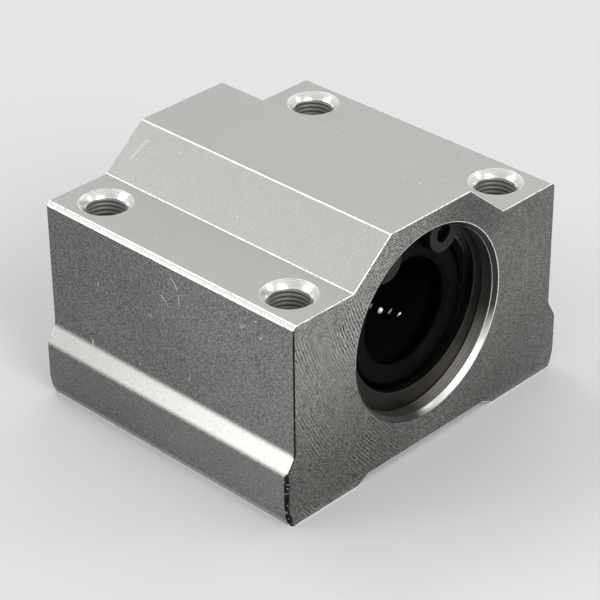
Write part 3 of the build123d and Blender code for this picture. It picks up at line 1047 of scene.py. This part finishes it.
class BLOCK_OT_circlips(bpy.types.Operator):
    """Dress the two bore circlips with rounded stamped edges"""

    bl_idname = "bearing_block.circlips"
    bl_label = "Circlips"

    def execute(self, context):
        sizes, colours = context.scene.block_sizes, context.scene.block_colours
        phosphate = worn_metal("Phosphated steel", colours.clip, colours.steel, metallic=0.75,
                               roughness=0.38, grain_size=0.12, reach=0.15 * MM)
        for end in ("front", "rear"):
            work = merged_copy(f"circlip_{end}")
            weigh_edges(work, lambda edge: 1.0, sharpest=radians(50))
            piece = new_piece(f"circlip_{end}_skin", to_mesh(work, f"circlip_{end}_skin"))
            piece.data.materials.append(phosphate)
            break_edges(piece, sizes.clip_break)
            stand_for(piece, f"circlip_{end}", BODY_OF[f"circlip_{end}"])
        return {"FINISHED"}


class BLOCK_OT_bearing(bpy.types.Operator):
    """Give the sleeve, side rings, seals and cage their steel, rubber and resin"""

    bl_idname = "bearing_block.bearing"
    bl_label = "Bearing"

    def execute(self, context):
        sizes, colours = context.scene.block_sizes, context.scene.block_colours
        steel = turned_metal("Ground steel", colours.steel, sizes.turning_pitch / MM, "X",
                             metallic=1.0, roughness=0.3, contrast=0.2, depth=0.002 * MM)
        rubber = black_moulding("Seal rubber", colours.rubber, roughness=0.42, grain_size=0.1)
        resin = black_moulding("Cage resin", colours.resin, roughness=0.3, grain_size=0.15)
        finishes = {
            "bearing_sleeve": steel, "side_ring_front": steel, "side_ring_rear": steel,
            "seal_front": rubber, "seal_rear": rubber, "ball_cage": resin,
        }
        for node, made in finishes.items():
            for slot in frame["nodes"][node].material_slots:
                slot.material = made
        return {"FINISHED"}


class BLOCK_OT_balls(bpy.types.Operator):
    """Fill the four circuits with polished balls, a train for each stretch of a circuit"""

    bl_idname = "bearing_block.balls"
    bl_label = "Balls"

    def execute(self, context):
        polished = polished_steel(context.scene.block_colours)
        tree = make_ball_train()
        for node, body in BODY_OF.items():
            if "_balls_" not in node:
                continue
            joint = JOINTS[body]
            train = straight_train if joint["type"] == "slide" else turning_train
            values = train(*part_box(node), joint)
            piece = grow(f"{node}_polished", tree, Material=polished, **values)
            stand_for(piece, node, body)
        return {"FINISHED"}


def ball_radius(low, high):
    """Radius of the balls of a row along the shaft, from the row's box."""
    return (high.y - low.y) / 2


def straight_train(low, high, joint):
    """A row of balls along the shaft, as inputs of the ball train."""
    radius = ball_radius(low, high)
    first = Vector((low.x + radius, (low.y + high.y) / 2, (low.z + high.z) / 2))
    step = Vector(((high.x - low.x - 2 * radius) / (BALLS_IN_ROW - 1), 0, 0))
    return {"Balls": BALLS_IN_ROW, "Radius": radius, "First": first, "Step": step}


def turning_train(low, high, joint):
    """The balls of a half turn about its hinge, as inputs of the ball train."""
    middle, axis = Vector(joint["pos_m"]), Vector(joint["axis"])
    radius = ball_radius(*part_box("load_balls_1"))
    outward = Vector((1 if middle.x > 0 else -1, 0, 0))
    reach = (high.x - middle.x if middle.x > 0 else middle.x - low.x) - radius
    turn_radius = reach / cos(tau / 8)
    first = middle + Matrix.Rotation(-tau / 8, 3, axis) @ outward * turn_radius
    return {"Balls": BALLS_IN_TURN, "Radius": radius, "First": first, "Middle": middle,
            "Axis": axis, "Turn": tau / 4}


class BLOCK_OT_studio(bpy.types.Operator):
    """Set the floor, the backdrop, the lamps and the camera"""

    bl_idname = "bearing_block.studio"
    bl_label = "Studio"

    def execute(self, context):
        studio, colours = context.scene.block_studio, context.scene.block_colours
        make_floor(colours, studio)
        make_world(context.scene, colours, studio)
        for name, place, size, power in LAMPS:
            make_lamp(name, place, size, power)
        make_camera(context.scene, studio)
        context.scene.view_settings.view_transform = "Standard"
        return {"FINISHED"}


# Lamps: name, place in metres, width and height in metres, power in watts
LAMPS = (
    ("Left softbox", (-0.34, -0.33, 0.3), (0.34, 0.24), 0.4),
    ("Low left lamp", (-0.25, -0.37, 0.1), (0.1, 0.1), 0.14),
    ("Back softbox", (-0.16, 0.42, 0.42), (0.5, 0.34), 0.34),
    ("Rear lamp", (0.24, 0.28, 0.28), (0.1, 0.1), 0.1),
    ("Front softbox", (0.42, -0.09, 0.3), (0.26, 0.26), 0.9),
    ("Top lamp", (-0.33, 0.055, 0.435), (0.14, 0.14), 0.28),
)


def looks_straight(tree):
    """1 for what the camera sees, directly, in a reflection or through glass."""
    path = put(tree, "ShaderNodeLightPath").outputs
    seen = maths(tree, "MAXIMUM", path["Is Camera Ray"], path["Is Glossy Ray"])
    return maths(tree, "MAXIMUM", seen, path["Is Transmission Ray"])


# The floor's radius, the reach over which it fades into the backdrop, and the length under
# which a ray comes from the block's own base and passes through it
FLOOR_RADIUS = 3.0
FLOOR_FADE = (0.25, 0.9)
BASE_RAY = 1.2 * MM


def make_floor(colours, studio):
    """A wide pale disc that fades into the backdrop, and can't be seen from below."""
    work = bmesh.new()
    bmesh.ops.create_circle(work, cap_ends=True, segments=128, radius=FLOOR_RADIUS)
    bmesh.ops.translate(work, verts=work.verts, vec=(0, 0, HOUSING_LOW.z))
    bmesh.ops.recalc_face_normals(work, faces=work.faces)
    for face in work.faces:
        if face.normal.z < 0:
            face.normal_flip()
    mesh = bpy.data.meshes.new("floor")
    work.to_mesh(mesh)
    work.free()
    floor = new_piece("floor", mesh)
    made = bpy.data.materials.new("Studio floor")
    made.use_nodes = True
    tree = made.node_tree
    tree.nodes.remove(tree.nodes["Principled BSDF"])
    place = put(tree, "ShaderNodeTexCoord").outputs["Object"]
    dim = tuple(part * studio.floor_bounce for part in colours.floor)
    shade = mix(tree, looks_straight(tree), dim, colours.floor)
    matt = put(tree, "ShaderNodeBsdfDiffuse", shade).outputs[0]
    clear = put(tree, "ShaderNodeBsdfTransparent").outputs[0]
    reach = vectors(tree, "LENGTH", place, result="Value")
    gone = maths(
        tree, "MAXIMUM", remap(tree, reach, *FLOOR_FADE),
        put(tree, "ShaderNodeNewGeometry").outputs["Backfacing"],
    )
    path = put(tree, "ShaderNodeLightPath").outputs
    from_base = maths(tree, "LESS_THAN", path["Ray Length"], BASE_RAY)
    gone = maths(tree, "MAXIMUM", gone, from_base)
    surface = put(tree, "ShaderNodeMixShader", gone, matt, clear).outputs[0]
    feed(tree, tree.nodes["Material Output"].inputs["Surface"], surface)
    mesh.materials.append(made)


def make_world(scene, colours, studio):
    """A pale backdrop for the eye, and a plain even fill for the light."""
    scene.world = bpy.data.worlds.new("Studio")
    scene.world.use_nodes = True
    tree = scene.world.node_tree
    sky = tree.nodes["Background"]
    fill = (studio.fill,) * 3
    feed(tree, sky.inputs["Color"], mix(tree, looks_straight(tree), fill, colours.floor))


def make_lamp(name, place, size, power):
    """A soft rectangular lamp that faces the block."""
    data = bpy.data.lights.new(name, "AREA")
    data.shape = "RECTANGLE"
    data.size, data.size_y = size
    data.energy = power
    lamp = bpy.data.objects.new(name, data)
    lamp.location = place
    lamp.rotation_euler = Vector(place).to_track_quat("Z", "Y").to_euler()
    lamp.visible_camera = False
    bpy.context.scene.collection.objects.link(lamp)


def make_camera(scene, studio):
    """The camera at the photograph's place and angle."""
    back = Vector((
        cos(studio.elevation) * sin(studio.azimuth),
        -cos(studio.elevation) * cos(studio.azimuth),
        sin(studio.elevation),
    ))
    level = Vector((0, 0, 1)).cross(back).normalized()
    rise = back.cross(level)
    right = cos(studio.roll) * level + sin(studio.roll) * rise
    up = back.cross(right)
    data = bpy.data.cameras.new("Camera")
    data.lens = studio.lens
    data.clip_start = 0.01
    camera = bpy.data.objects.new("Camera", data)
    turn = Matrix((right, up, back)).transposed().to_4x4()
    camera.matrix_world = Matrix.Translation(Vector(studio.aim) + back * studio.distance) @ turn
    scene.collection.objects.link(camera)
    scene.camera = camera


class BLOCK_PT_panel(bpy.types.Panel):
    """The block's settings and operators"""

    bl_idname = "BLOCK_PT_panel"
    bl_label = "Bearing block"
    bl_space_type = "VIEW_3D"
    bl_region_type = "UI"
    bl_category = "Bearing block"

    def draw(self, context):
        layout = self.layout
        for operator in OPERATORS:
            layout.operator(operator.bl_idname)
        for name in SETTINGS:
            settings = getattr(context.scene, name)
            for label in settings.bl_rna.properties.keys():
                if label not in ("rna_type", "name"):
                    layout.prop(settings, label)


OPERATORS = (
    BLOCK_OT_effects, BLOCK_OT_housing, BLOCK_OT_threads, BLOCK_OT_circlips, BLOCK_OT_bearing,
    BLOCK_OT_balls, BLOCK_OT_studio,
)
SETTINGS = {
    "block_sizes": BlockSizes, "block_colours": BlockColours, "block_studio": StudioSettings
}


def register():
    for group in SETTINGS.values():
        bpy.utils.register_class(group)
    for name, group in SETTINGS.items():
        setattr(bpy.types.Scene, name, bpy.props.PointerProperty(type=group))
    for operator in (*OPERATORS, BLOCK_PT_panel):
        bpy.utils.register_class(operator)


def unregister():
    for operator in reversed((*OPERATORS, BLOCK_PT_panel)):
        bpy.utils.unregister_class(operator)
    for name, group in SETTINGS.items():
        delattr(bpy.types.Scene, name)
        bpy.utils.unregister_class(group)


def main():
    register()
    bpy.ops.bearing_block.effects()
    bpy.ops.bearing_block.housing()
    bpy.ops.bearing_block.threads()
    bpy.ops.bearing_block.circlips()
    bpy.ops.bearing_block.bearing()
    bpy.ops.bearing_block.balls()
    bpy.ops.bearing_block.studio()


if __name__ == "__main__":
    main()
